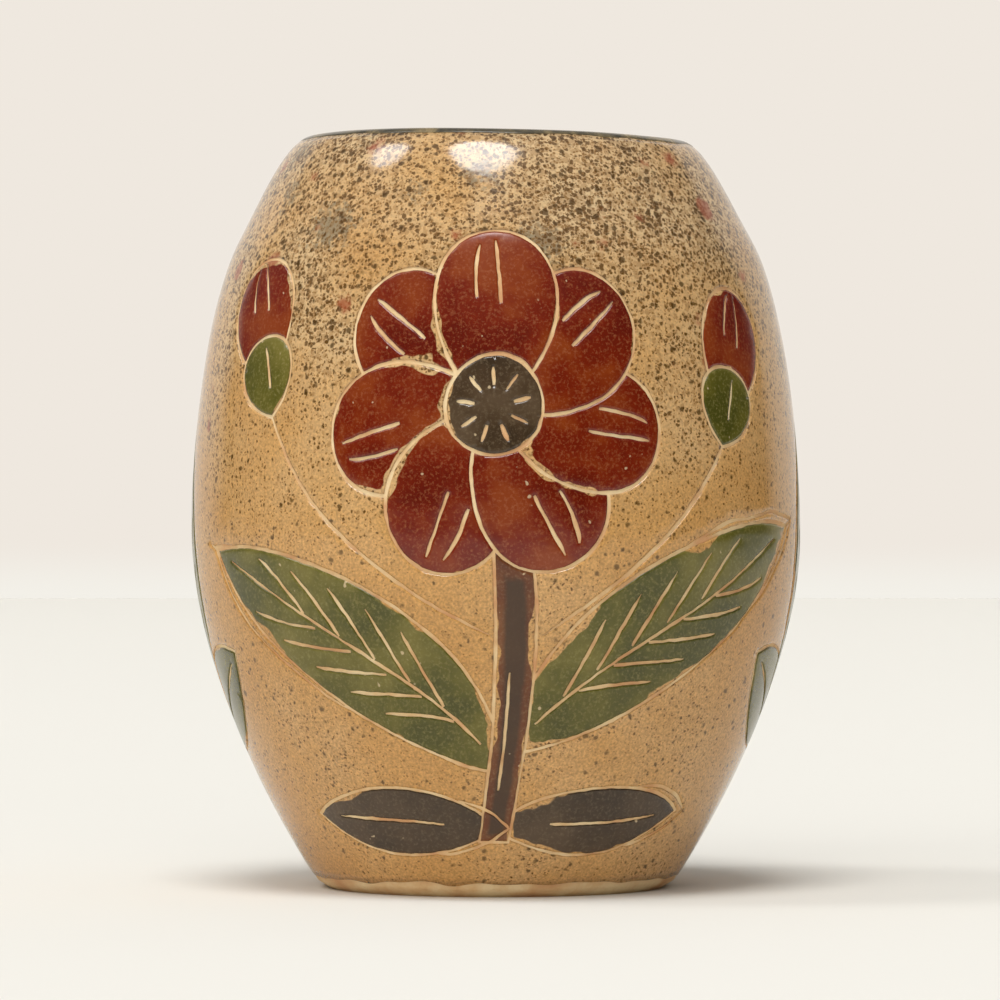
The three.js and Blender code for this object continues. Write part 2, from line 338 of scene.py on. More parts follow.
def mottled(tree, place, patch, shades, detail=4.0):
    # a colour that drifts through three shades in patches of this size
    drift = addNode(tree, "ShaderNodeTexNoise", {"Vector": place},
                    {"Scale": perMetre(patch), "Detail": detail, "Roughness": 0.6})
    ramp = addNode(tree, "ShaderNodeValToRGB", {"Fac": drift.outputs["Fac"]})
    stops = ramp.color_ramp.elements
    stops.new(shadeStops[1])
    for stop, position, shade in zip(stops, shadeStops, shades):
        stop.position, stop.color = position, hexColour(shade)
    return ramp.outputs["Color"], drift.outputs["Fac"]


burnished = {
    "strokeLength": 6.0,
    "strokeWidth": 1.6,
    "strokeDepth": 0.02,
    "pit": 0.4,
    "pitShare": 0.2,  # depth of the pits against that of the strokes
}


def burnish(tree, shader, place, wear, roughness):
    # strokes of the burnishing stone, long round the pot and narrow up it, with fine pits between,
    # and a gloss that dulls with wear
    stretch = addNode(tree, "ShaderNodeMapping", {"Vector": place},
                      {"Scale": [perMetre(burnished[key]) for key in
                                 ("strokeLength", "strokeLength", "strokeWidth")]})
    strokes = addNode(tree, "ShaderNodeTexNoise", {"Vector": stretch}, {"Scale": 1.0, "Detail": 2.0})
    pits = addNode(tree, "ShaderNodeTexNoise", {"Vector": place},
                   {"Scale": perMetre(burnished["pit"]), "Detail": 1.0})
    height = addNode(tree, "ShaderNodeMath", {0: pits.outputs["Fac"], 2: strokes.outputs["Fac"]},
                     {1: burnished["pitShare"]}, operation="MULTIPLY_ADD")
    relief = addNode(tree, "ShaderNodeBump", {"Height": height},
                     {"Strength": 1.0, "Distance": burnished["strokeDepth"] * mm})
    tree.links.new(relief.outputs[0], shader.inputs["Normal"])
    gloss = addNode(tree, "ShaderNodeMapRange", {"Value": wear},
                    {**noiseSpan, "To Min": roughness[0], "To Max": roughness[1]})
    tree.links.new(gloss.outputs[0], shader.inputs["Roughness"])


groundSlip = {
    "shades": ("#bf8d4d", "#c59557", "#ca9e66"),
    "patch": 21.0,
    "grain": 0.24,
    "grainShade": (0.7, 1.24),
    "bloom": "#d3bb92",  # paler and greyer towards the lip
    "bloomShare": (0.15, 0.75),
    "drift": 10.0,  # size of the denser drifts of spatter
    "driftPlay": 0.3,
    "spatterFrom": 26.0,  # height where the spatter starts to thicken towards the lip
    "spatterFull": 66.0,
    "roughness": (0.09, 0.18),
}
spatter = {  # a cell may hold one spot, and a larger share low down or near the lip gives larger spots
    "grey": {"cell": 6.0, "low": 0.0, "lip": 0.8, "cover": 0.6, "colour": "#515a50", "edge": "broken"},
    "haze": {"cell": 0.55, "low": 0.5, "lip": 1.3, "cover": 0.42, "colour": "#855c2c", "edge": "fine"},
    "dust": {"cell": 0.28, "low": 0.68, "lip": 1.05, "cover": 0.75, "colour": "#774f1c", "edge": "fine"},
    "pepper": {"cell": 0.4, "low": 0.62, "lip": 1.1, "cover": 0.84, "colour": "#52330a", "edge": "fine"},
    "spot": {"cell": 0.8, "low": 0.52, "lip": 0.78, "cover": 0.84, "colour": "#452d09", "edge": "fine"},
    "drip": {"cell": 0.95, "low": 0.58, "lip": 0.46, "cover": 0.8, "colour": "#553a10", "edge": "fine"},
    "red": {"cell": 3.4, "low": 0.1, "lip": 0.58, "cover": 0.75, "colour": "#98492a", "edge": "ragged"},
}
spotEdge = {"reach": 0.66, "soft": 0.17}
frays = {  # how far the edge of a spot is torn, and over what length
    "fine": (0.42, 0.42),
    "ragged": (1.4, 0.7),
    "broken": (6.0, 0.6),  # far enough to leave a cluster of specks
}


def groundColour(tree, place):
    # tan slip spattered with dark slip from a brush, thickest near the lip
    slip = groundSlip
    base, _ = mottled(tree, place, slip["patch"], slip["shades"], detail=6.0)
    grain = addNode(tree, "ShaderNodeTexNoise", {"Vector": place},
                    {"Scale": perMetre(slip["grain"]), "Detail": 2.0})
    shade = addNode(tree, "ShaderNodeMapRange", {"Value": grain.outputs["Fac"]},
                    {**noiseSpan, "To Min": slip["grainShade"][0], "To Max": slip["grainShade"][1]})
    grainy = addNode(tree, "ShaderNodeVectorMath", {0: base, 1: shade}, operation="MULTIPLY")

    height = addNode(tree, "ShaderNodeSeparateXYZ", {0: place}).outputs["Z"]
    near = addNode(tree, "ShaderNodeMapRange", {"Value": height},
                   {"From Min": slip["spatterFrom"] * mm, "From Max": slip["spatterFull"] * mm},
                   interpolation_type="SMOOTHSTEP")
    drifts = addNode(tree, "ShaderNodeTexNoise", {"Vector": place},
                     {"Scale": perMetre(slip["drift"]), "Detail": 2.0}).outputs["Fac"]
    cloud = addNode(tree, "ShaderNodeMapRange", {"Value": drifts},
                    {**noiseSpan, "To Min": slip["bloomShare"][0], "To Max": slip["bloomShare"][1]})
    bloom = addNode(tree, "ShaderNodeMath", {0: cloud, 1: near}, operation="MULTIPLY")
    colour = addNode(tree, "ShaderNodeMix", {0: bloom, 6: grainy},
                     {7: hexColour(slip["bloom"])}, data_type="RGBA").outputs[2]

    # every kind of spot, with frayed edges, in drifts
    frayed = {}
    for edge, (tear, over) in frays.items():
        fray = addNode(tree, "ShaderNodeTexNoise", {"Vector": place}, {"Scale": perMetre(over)})
        frayed[edge] = addNode(tree, "ShaderNodeVectorMath", {0: fray.outputs["Color"], 2: place},
                               {1: (tear * mm,) * 3}, operation="MULTIPLY_ADD")
    uneven = addNode(tree, "ShaderNodeMapRange", {"Value": drifts},
                     {**noiseSpan, "To Min": -slip["driftPlay"], "To Max": slip["driftPlay"]})
    thick = addNode(tree, "ShaderNodeMath", {0: near, 1: uneven}, operation="ADD")
    for spot in spatter.values():
        cells = addNode(tree, "ShaderNodeTexVoronoi", {"Vector": frayed[spot["edge"]]},
                        {"Scale": perMetre(spot["cell"])})
        chance = addNode(tree, "ShaderNodeSeparateXYZ", {0: cells.outputs["Color"]}).outputs["X"]
        share = addNode(tree, "ShaderNodeMapRange", {"Value": thick},
                        {"To Min": spot["low"], "To Max": spot["lip"]}, clamp=False)
        size = addNode(tree, "ShaderNodeMath", {0: share, 1: chance}, operation="SUBTRACT")
        reach = addNode(tree, "ShaderNodeMath", {0: size}, {1: spotEdge["reach"]}, operation="MULTIPLY")
        inside = addNode(tree, "ShaderNodeMath", {0: reach, 1: cells.outputs["Distance"]},
                         operation="SUBTRACT")
        amount = addNode(tree, "ShaderNodeMapRange", {"Value": inside},
                         {"From Max": spotEdge["soft"], "To Max": spot["cover"]})
        colour = addNode(tree, "ShaderNodeMix", {0: amount, 6: colour},
                         {7: hexColour(spot["colour"])}, data_type="RGBA").outputs[2]
    return colour, drifts


def groundSlipMaterial():
    # burnished slip over earthenware: glossy, tan, peppered with dark spatter
    material, tree, shader = newMaterial("burnishedSpeckledSlip")
    place = addNode(tree, "ShaderNodeTexCoord").outputs["Object"]
    colour, drifts = groundColour(tree, place)
    tree.links.new(colour, shader.inputs["Base Color"])
    burnish(tree, shader, place, drifts, groundSlip["roughness"])
    return material


slipColours = {
    "red_slip": {"shades": ("#5d1000", "#6e1a00", "#823408"), "fleck": "#9a5a34"},
    "green_slip": {"shades": ("#464510", "#5a5518", "#70672a"), "fleck": "#8f844a"},
    "brown_slip": {"shades": ("#54280e", "#663614", "#754824"), "fleck": "#8a6644", "wash": "#3d2c1a"},
    "dark_slip": {"shades": ("#372919", "#453421", "#53412d"), "fleck": "#6e5d45"},
}
brush = {
    "patch": 7.0,
    "fleck": 0.3,
    "fleckLevel": (0.5, 0.72),  # lower levels leave more flecks
    "fleckCover": 0.6,
    "chip": 0.9,
    "chipLevel": (0.765, 0.795),
    "chipCover": 0.7,
    "gapPatch": 8.0,  # how long the gaps are where the brush stopped short of the line
    "gapLevel": (0.55, 0.75),
    "gapWidth": 1.2,
    "gapEdge": 0.12,
    "washDrift": 1.2,  # how far the edge of a dark wash wanders
    "washLevel": (1.15, 1.6),  # how far from its edge a field is washed over
    "washCover": 0.85,
    "roughness": (0.14, 0.25),
}


def colouredSlipMaterial(slot, colours):
    # burnished brushed slip: glossy, mottled, open to the ground where the brush stopped short
    material, tree, shader = newMaterial("burnished" + slot.split("_")[0].capitalize() + "Slip")
    place = addNode(tree, "ShaderNodeTexCoord").outputs["Object"]
    fromEdge = addNode(tree, "ShaderNodeAttribute", attribute_name="fromEdge").outputs["Fac"]
    colour, drift = mottled(tree, place, brush["patch"], colours["shades"])

    # a layer of flecks, a wash in the middle and a few chips
    grain = addNode(tree, "ShaderNodeTexNoise", {"Vector": place},
                    {"Scale": perMetre(brush["fleck"]), "Detail": 3.0, "Roughness": 0.65})
    chips = addNode(tree, "ShaderNodeTexNoise", {"Vector": place},
                    {"Scale": perMetre(brush["chip"]), "Detail": 1.0})
    wash = addNode(tree, "ShaderNodeMath", {0: drift, 2: fromEdge}, {1: brush["washDrift"]},
                   operation="MULTIPLY_ADD")
    layers = [(grain.outputs["Fac"], brush["fleckLevel"], brush["fleckCover"], colours["fleck"])]
    if "wash" in colours:
        layers.append((wash, brush["washLevel"], brush["washCover"], colours["wash"]))
    layers.append((chips.outputs["Fac"], brush["chipLevel"], brush["chipCover"], groundSlip["bloom"]))
    for amount, (low, high), cover, tone in layers:
        share = addNode(tree, "ShaderNodeMapRange", {"Value": amount},
                        {"From Min": low, "From Max": high, "To Max": cover})
        colour = addNode(tree, "ShaderNodeMix", {0: share, 6: colour}, {7: hexColour(tone)},
                         data_type="RGBA").outputs[2]

    # the ground shows in gaps along the edge
    slack = addNode(tree, "ShaderNodeTexNoise", {"Vector": place},
                    {"Scale": perMetre(brush["gapPatch"]), "Detail": 3.0})
    gap = addNode(tree, "ShaderNodeMapRange", {"Value": slack.outputs["Fac"]},
                  {"From Min": brush["gapLevel"][0], "From Max": brush["gapLevel"][1],
                   "To Max": brush["gapWidth"]})
    inside = addNode(tree, "ShaderNodeMath", {0: fromEdge, 1: gap}, operation="SUBTRACT")
    covered = addNode(tree, "ShaderNodeMapRange", {"Value": inside},
                      {"From Min": -brush["gapEdge"], "From Max": 0.0}, interpolation_type="SMOOTHSTEP")
    under, _ = groundColour(tree, place)
    brushed = addNode(tree, "ShaderNodeMix", {0: covered, 6: under, 7: colour}, data_type="RGBA")
    tree.links.new(brushed.outputs[2], shader.inputs["Base Color"])
    burnish(tree, shader, place, drift, brush["roughness"])
    return material


clayFinish = {
    "shades": ("#d09c6c", "#e0bb88", "#ecd2a4"),
    "patch": 5.0,
    "grit": 0.35,
    "gritDepth": 0.05,
    "roughness": 0.8,
}


def clayMaterial():
    # bare fired clay, cut with a point: matt, pale and gritty
    material, tree, shader = newMaterial("bareFiredClay")
    place = addNode(tree, "ShaderNodeTexCoord").outputs["Object"]
    colour, _ = mottled(tree, place, clayFinish["patch"], clayFinish["shades"], detail=5.0)
    tree.links.new(colour, shader.inputs["Base Color"])
    shader.inputs["Roughness"].default_value = clayFinish["roughness"]
    grit = addNode(tree, "ShaderNodeTexNoise", {"Vector": place},
                   {"Scale": perMetre(clayFinish["grit"]), "Detail": 3.0})
    relief = addNode(tree, "ShaderNodeBump", {"Height": grit.outputs["Fac"]},
                     {"Strength": 0.8, "Distance": clayFinish["gritDepth"] * mm})
    tree.links.new(relief.outputs[0], shader.inputs["Normal"])
    return material


lipFinish = {"shades": ("#393426", "#544a34", "#84724e"), "patch": 2.4, "roughness": (0.16, 0.3)}


def lipSlipMaterial():
    # burnished dark slip over the lip: glossy, olive brown, worn thin in places
    material, tree, shader = newMaterial("burnishedLipSlip")
    place = addNode(tree, "ShaderNodeTexCoord").outputs["Object"]
    colour, wear = mottled(tree, place, lipFinish["patch"], lipFinish["shades"])
    tree.links.new(colour, shader.inputs["Base Color"])
    burnish(tree, shader, place, wear, lipFinish["roughness"])
    return material


finishes = {slot: colouredSlipMaterial(slot, colours) for slot, colours in slipColours.items()}
finishes["ground_slip"] = groundSlipMaterial()
finishes["lip_slip"] = lipSlipMaterial()
finishes["clay"] = clayMaterial()
print("materials:", ", ".join(sorted(m.name for m in finishes.values())))


# The clay body: a sheet as wide as a full turn, from under the foot to the middle of the floor

clay = {
    "columns": 240,
    "rowStep": 1.1,
    "underStep": 2.0,  # rows under the foot
    "fineStep": 0.3,
    "coarseTo": 3.5,  # below the crest of the lip, where the finer rows follow
    "fineFrom": 3.4,
    "fineTo": 4.0,  # down the inside from the crest
    "coarseFrom": 4.2,
    "bevelRows": (1.0, 1.3, 2.0),  # rows on both sides of the foot's edge, in bevels
    "bevelClear": 3,  # no other row is nearer to that edge
    "underSlip": 0.11,  # how deep the clay lies under the face of the slips
    "insideDepth": 0.5,  # how deep it lies under the section on the inside
    "insideFrom": 1.0,  # past the crest, where that depth begins
    "footBevel": 0.8,
    "ridgeDepth": 0.16,  # spiral left inside by the potter's fingers
    "ridgePitch": 3.6,
    "ridgeStart": 9.0,
    "ridgeFull": 16.0,
    "ridgeEnd": 12.0,  # the ridges fade out over this length, at the middle of the floor
}


def clayRows():
    bevel = clay["footBevel"]
    clear = clay["bevelClear"] * bevel
    rows = list(np.arange(-footStation, -clear, clay["underStep"]))
    rows += [-share * bevel for share in reversed(clay["bevelRows"])]
    rows += [share * bevel for share in clay["bevelRows"]]
    rows += list(np.arange(clear, crest - clay["coarseTo"], clay["rowStep"]))
    rows += list(np.arange(crest - clay["fineFrom"], crest + clay["fineTo"], clay["fineStep"]))
    rows += list(np.arange(crest + clay["coarseFrom"], wallEnd, clay["rowStep"]))
    return rows + [wallEnd]


def claySheet():
    columns, rows = clay["columns"], clayRows()
    bevel = clay["footBevel"]
    ridgeSpan = [crest + clay["ridgeStart"], crest + clay["ridgeFull"], wallEnd - clay["ridgeEnd"], wallEnd]
    corners = []
    for v in rows:
        wall = np.interp(v, [-bevel, bevel], [0, clay["underSlip"]])
        inner = np.interp(v, [crest + clay["insideFrom"], crest + clay["ridgeStart"]], [0, 1])
        fade = np.interp(v, ridgeSpan, [0, 1, 1, 0])
        for i in range(columns):
            turn = i / columns
            ridge = math.sin(fullTurn * (v / clay["ridgePitch"] + turn)) * clay["ridgeDepth"] * fade
            depth = wall + (clay["insideDepth"] - clay["underSlip"]) * inner + ridge
            corners.append((turn * wrap["Sheet width"] / mm, v, -depth))
    faces = []
    for j in range(len(rows) - 1):
        for i in range(columns):
            here, beside = j * columns + i, j * columns + (i + 1) % columns
            faces.append((here, beside, beside + columns, here + columns))
    return corners, faces


clayCorners, clayFaces = claySheet()
clayBody = wrapPiece("clay_pot", clayCorners, clayFaces, finishes["clay"], ["clay_body"])
print("clay body:", len(clayBody.data.polygons), "faces")


# The drawing, flat, in millimetres: outlines of the fields in the order in which they are
# cut, and the strokes cut into and round them

drawing = {
    "headRoom": 12.0,
    "lineWidth": 0.34,
    "outlineStep": 0.4,
    "fewestSteps": 8,
    "bloomHeight": 48.5,
    "bloomRadius": 16.5,
    "seedRadius": 4.6,
    "petalCount": 7,
    "petalWidth": 12.0,
    "stemWidth": 3.6,
    "stemFoot": 6.5,
    "stemBow": 4.0,
    "leafRoot": 15.0,
    "leafReach": 34.0,
    "leafRise": 21.0,
    "leafWidth": 11.5,
    "leafBend": 2.5,
    "leafStagger": 2.0,
    "bladeRoot": 8.0,
    "bladeReach": 26.0,
    "bladeRise": 1.0,
    "bladeWidth": 7.0,
    "budReach": 25.5,
    "budHeight": 49.5,
    "budStagger": 3.0,
    "budLength": 12.0,
    "budWidth": 9.0,
    "budLean": 18.0,  # degrees
    "calyxDrop": 3.5,
    "calyxLength": 7.5,
    "calyxWidth": 7.0,
    "sprigHeight": 16.0,
    "sprigLength": 33.0,
    "sprigWidth": 11.0,
    "sideLength": 16.0,
    "sideWidth": 8.0,
    "sideSpread": 55.0,  # degrees
    "roundTop": (0.3, 0.98),  # where a curve's handles stand along its length
    "pointed": (0.25, 0.7),
}
cubicBulge = 0.75  # a cubic curve bulges this far towards two level handles

cuts = {  # strokes inside the fields: from and to along a blade, then across it at both ends
    "petal": ((0.5, 0.8, -0.32, -0.4), (0.47, 0.84, 0.08, 0.02)),
    "bud": ((0.5, 0.86, -0.3, -0.36), (0.46, 0.88, 0.2, 0.16)),
    "calyx": ((0.3, 0.75, 0.1, 0.1),),
    "blade": ((0.3, 0.86, 0.0, 0.1),),
    "leaflet": ((0.3, 0.88, 0.0, 0.06),),
    "midrib": ((0.12, 0.93, 0.0, 0.05),),
    "veinsFrom": 0.24,
    "veinsOver": 0.5,
    "veinLength": 0.17,
    "veinStagger": 0.02,
    "veinAcross": (0.06, 0.74),
    "leafVeins": 5,
    "sprigVeins": 4,
    "seedTicks": 9,
    "tickTurn": 0.2,  # radians
    "tickReach": (0.42, 0.55, 0.68, 0.8),  # shares of the seed disc's radius
    "stemFrom": 12.0,
    "stemStep": 0.5,
    "stemSteps": 24,
    "stemAside": -0.5,
    "overrun": (0.5, 0.16),  # each step of a line that runs on past the tip of a leaf
    "overrunSteps": 5,
    "stalkFoot": (2.6, 27.0),  # beside the stem, and up it
    "stalkBow": (17.5, 35.5),
    "stalkSteps": 50,
}

hand = {
    "sway": 0.5,  # how far the whole line wanders
    "swayOver": 13.0,
    "shake": 0.08,  # how far its edges shake
    "shakeOver": 0.9,
    "shakeApart": 7.0,  # sets the shakes of two lines apart
    "widthPlay": 0.4,
    "pressOver": 4.0,  # length over which the width of a line changes
    "strokeWidth": 0.35,
    "strokePressOver": 2.5,
    "strokeStep": 0.4,
    "strokeFewest": 3,
    "strokeStart": (0.7, 6),  # share of the width at the blunt start, and how fast it grows
    "strokeEnd": (0.45, 4),  # the same back from the thin end
    "slipAway": 1.0,  # how far a second try at a line runs outside the first
    "againLength": 0.3,  # share of the line that it follows
    "againApart": 3.7,
    "againJoin": 0.75,  # how far its ends come back to the line
    "lineSeed": 0.5,
    "strokeSeeds": 100,
    "seed": 5,
}

sheetWidth = wrap["Sheet width"] / mm
upScale = crest / (drawing["bloomHeight"] + drawing["bloomRadius"] + drawing["headRoom"])


def clockwise(point, angle):
    c, s = math.cos(angle), math.sin(angle)
    return Vector((point.x * c + point.y * s, point.y * c - point.x * s))


class Blade:
    # a petal, bud or leaf that points up from its root, bent to its right
    def __init__(self, length, width, handles, root, angle=0.0, bend=0.0):
        self.length, self.side, self.bend = length, width / 2 / cubicBulge, bend
        self.low, self.high = (length * share for share in handles)
        self.root, self.angle = Vector(root), angle

    def at(self, t, across=0.0):
        # a point t along the blade, across from -1 at its left edge to 1 at its right edge
        s = 1 - t
        x = 3 * s * t * (self.bend + self.side * across)
        y = 3 * s * s * t * self.low + 3 * s * t * t * self.high + t ** 3 * self.length
        return self.root + clockwise(Vector((x, y)), self.angle)

    def outline(self):
        steps = max(drawing["fewestSteps"], round(self.length / drawing["outlineStep"]))
        right = [self.at(i / steps, 1) for i in range(steps)]
        left = [self.at(1 - i / steps, -1) for i in range(steps)]
        return right + left

    def along(self, start, end, across, acrossEnd, steps=24):
        # a stroke that follows the blade
        shares = [i / steps for i in range(steps + 1)]
        return [self.at(start + (end - start) * s, across + (acrossEnd - across) * s) for s in shares]


def discOutline(radius, middle):
    count = round(fullTurn * radius / drawing["outlineStep"])
    angles = [fullTurn * i / count for i in range(count)]
    return [Vector(middle) + Vector((radius * math.cos(a), radius * math.sin(a))) for a in angles]


def bowed(start, bow, end, steps):
    # a stroke that bows towards a point
    points = []
    for i in range(steps + 1):
        t = i / steps
        points.append(Vector(start) * (1 - t) ** 2 + Vector(bow) * (2 * t * (1 - t)) + Vector(end) * t * t)
    return points


def onStem(height):
    foot, top = drawing["stemFoot"], drawing["bloomHeight"]
    t = (height - foot) / (top - foot)
    return Vector((2 * t * (1 - t) * drawing["stemBow"], height))


def stemOutline():
    foot, top = drawing["stemFoot"], drawing["bloomHeight"]
    count = round((top - foot) / drawing["outlineStep"])
    middle = [onStem(foot + (top - foot) * i / count) for i in range(count + 1)]
    half = Vector((drawing["stemWidth"] / 2, 0))
    across = [middle[0] + half * (i / 3) for i in range(-2, 3)]  # points across the foot
    return [p + half for p in middle] + [p - half for p in reversed(middle)] + across


def strokesOn(blade, kind):
    return [blade.along(*cut) for cut in cuts[kind]]


def leafStrokes(leaf, veins):
    strokes = strokesOn(leaf, "midrib")
    inner, outer = cuts["veinAcross"]
    for i in range(veins):
        start = cuts["veinsFrom"] + cuts["veinsOver"] * i / veins
        for way in (-1, 1):
            aside = cuts["veinStagger"] * way
            end = start + cuts["veinLength"] + aside
            strokes.append(leaf.along(start + aside, end, inner * way, outer * way))
    return strokes


def plantFields(side):
    # fields from front to back, because each one stops at the lines cut before it
    plan = drawing
    fields, strokes = [], []

    def add(name, slot, outline, inside=()):
        fields.append({"name": f"{side}_{name}", "slot": slot, "outline": outline})
        strokes.extend(inside)

    bloom = (0, plan["bloomHeight"])
    ticks = []
    for i in range(cuts["seedTicks"]):
        angle = fullTurn * i / cuts["seedTicks"] + cuts["tickTurn"]
        way = Vector((math.cos(angle), math.sin(angle)))
        ticks.append([Vector(bloom) + way * (plan["seedRadius"] * share) for share in cuts["tickReach"]])
    add("seed_disc", "dark_slip", discOutline(plan["seedRadius"], bloom), ticks)
    for i in range(plan["petalCount"]):
        petal = Blade(plan["bloomRadius"], plan["petalWidth"], plan["roundTop"], bloom,
                      fullTurn * i / plan["petalCount"])
        add(f"petal_{i + 1}", "red_slip", petal.outline(), strokesOn(petal, "petal"))
    aside = Vector((cuts["stemAside"], 0))
    heights = [cuts["stemFrom"] + i * cuts["stemStep"] for i in range(cuts["stemSteps"])]
    add("stem", "brown_slip", stemOutline(), [[onStem(height) + aside for height in heights]])
    for name, way in (("right", 1), ("left", -1)):
        reach = Vector((plan["leafReach"], plan["leafRise"]))
        root = onStem(plan["leafRoot"] + way * plan["leafStagger"] / 2)
        leaf = Blade(reach.length, plan["leafWidth"], plan["pointed"], root,
                     way * math.atan2(reach.x, reach.y), -way * plan["leafBend"])
        tip = leaf.at(1.0)
        across, up = cuts["overrun"]
        overrun = [tip + Vector((way * across * i, up * i)) for i in range(cuts["overrunSteps"])]
        add(f"leaf_{name}", "green_slip", leaf.outline(), leafStrokes(leaf, cuts["leafVeins"]) + [overrun])
        reach = Vector((plan["bladeReach"], plan["bladeRise"]))
        blade = Blade(reach.length, plan["bladeWidth"], plan["pointed"], onStem(plan["bladeRoot"]),
                      way * math.atan2(reach.x, reach.y))
        add(f"blade_{name}", "dark_slip", blade.outline(), strokesOn(blade, "blade"))
        lean = way * math.radians(plan["budLean"])
        budFoot = Vector((way * plan["budReach"], plan["budHeight"] - way * plan["budStagger"] / 2))
        calyxFoot = budFoot + clockwise(Vector((0, -plan["calyxDrop"])), lean)
        calyx = Blade(plan["calyxLength"], plan["calyxWidth"], plan["roundTop"], calyxFoot, lean)
        bud = Blade(plan["budLength"], plan["budWidth"], plan["roundTop"], budFoot, lean)
        add(f"calyx_{name}", "green_slip", calyx.outline(), strokesOn(calyx, "calyx"))
        add(f"bud_{name}", "red_slip", bud.outline(), strokesOn(bud, "bud"))
        beside, height = cuts["stalkFoot"]
        bow, bowHeight = cuts["stalkBow"]
        stalkEnd = onStem(height) + Vector((way * beside, 0))
        strokes.append(bowed(calyx.at(0.0), (way * bow, bowHeight), stalkEnd, cuts["stalkSteps"]))
    return fields, strokes


def sprigFields(side):
    plan = drawing
    root = (0, plan["sprigHeight"])
    spread = math.radians(plan["sideSpread"])
    leaflets = {
        "middle": Blade(plan["sprigLength"], plan["sprigWidth"], plan["pointed"], root),
        "right": Blade(plan["sideLength"], plan["sideWidth"], plan["pointed"], root, spread),
        "left": Blade(plan["sideLength"], plan["sideWidth"], plan["pointed"], root, -spread),
    }
    fields, strokes = [], []
    for name, leaflet in leaflets.items():
        fields.append({"name": f"{side}_sprig_{name}", "slot": "green_slip", "outline": leaflet.outline()})
        veined = name == "middle"
        strokes += leafStrokes(leaflet, cuts["sprigVeins"]) if veined else strokesOn(leaflet, "leaflet")
    return fields, strokes


def handDrawn(points, seed):
    # a line wanders as a whole and its edges shake
    drawn = []
    for p in points:
        sway = noise.noise_vector(Vector((p.x, p.y, 0)) / hand["swayOver"]) * hand["sway"]
        own = Vector((p.x, p.y, seed * hand["shakeApart"]))
        shake = noise.noise_vector(own / hand["shakeOver"]) * hand["shake"]
        drawn.append(Vector((p.x + sway.x + shake.x, p.y + sway.y + shake.y)))
    return drawn


def onSheet(points, away):
    return [Vector((p.x + away, p.y * upScale)) for p in points]


sharpest = 0.4  # keeps a line from growing into a spike at a pointed corner
tiny = 1e-9


def unit(ways):
    return ways / np.maximum(np.linalg.norm(ways, axis=1, keepdims=True), tiny)


def edgeWays(points, closed=True):
    # unit vectors out of a ring, or to the right of a stroke, with the stretch at each corner
    ring = np.array([tuple(p) for p in points])
    before = np.roll(ring, 1, axis=0)
    after = np.roll(ring, -1, axis=0)
    if not closed:
        before[0], after[-1] = 2 * ring[0] - ring[1], 2 * ring[-1] - ring[-2]
    into = unit(ring - before)
    outOf = unit(after - ring)
    way = unit(np.stack([into[:, 1] + outOf[:, 1], -into[:, 0] - outOf[:, 0]], axis=1))
    stretch = 1 / np.maximum((way * np.stack([into[:, 1], -into[:, 0]], axis=1)).sum(1), sharpest)
    return ring, way, stretch


def grown(points, distance, seed):
    ring, way, stretch = edgeWays(points)
    area = np.sum(ring[:, 0] * np.roll(ring[:, 1], -1) - np.roll(ring[:, 0], -1) * ring[:, 1])
    sign = 1 if area > 0 else -1
    play = np.array([noise.noise(Vector((x, y, seed)) / hand["pressOver"]) for x, y in ring])
    reach = distance * (1 + hand["widthPlay"] * play) * stretch
    return [Vector(p) for p in ring + sign * way * reach[:, None]]


def strokeOutline(points, seed):
    # a cut that starts blunt and runs out thin
    ring, way, _ = edgeWays(points, closed=False)
    share = np.linspace(0, 1, len(ring))
    (blunt, growth), (thin, fade) = hand["strokeStart"], hand["strokeEnd"]
    swell = np.minimum(1, np.minimum(blunt + share * growth, thin + (1 - share) * fade))
    play = np.array([noise.noise(Vector((x, y, seed)) / hand["strokePressOver"]) for x, y in ring])
    half = hand["strokeWidth"] / 2 * swell * (1 + hand["widthPlay"] * play)
    right, left = ring + way * half[:, None], ring - way * half[:, None]
    return [Vector(p) for p in right] + [Vector(p) for p in left[::-1]]


def resampled(points):
    # evenly spaced points along a stroke
    ring = np.array([tuple(p) for p in points])
    run = np.concatenate([[0], np.cumsum(np.linalg.norm(np.diff(ring, axis=0), axis=1))])
    count = max(hand["strokeFewest"], round(run[-1] / hand["strokeStep"]))
    at = np.linspace(0, run[-1], count + 1)
    return [Vector((np.interp(s, run, ring[:, 0]), np.interp(s, run, ring[:, 1]))) for s in at]


def secondTry(line, seed):
    # a loose second line beside part of the first one
    outside = grown(line, hand["slipAway"], seed)
    chance = noise.noise(Vector((seed * hand["againApart"], 0.5, 0)))
    start = int(len(outside) * (0.5 + 0.5 * chance))
    count = int(len(outside) * hand["againLength"])
    beside = [outside[(start + i) % len(outside)] for i in range(count)]
    first = [line[(start + i) % len(line)] for i in range(count)]
    joins = [hand["againJoin"] * abs(2 * i / count - 1) ** 2 for i in range(count)]
    return [b.lerp(a, join) for a, b, join in zip(first, beside, joins)]


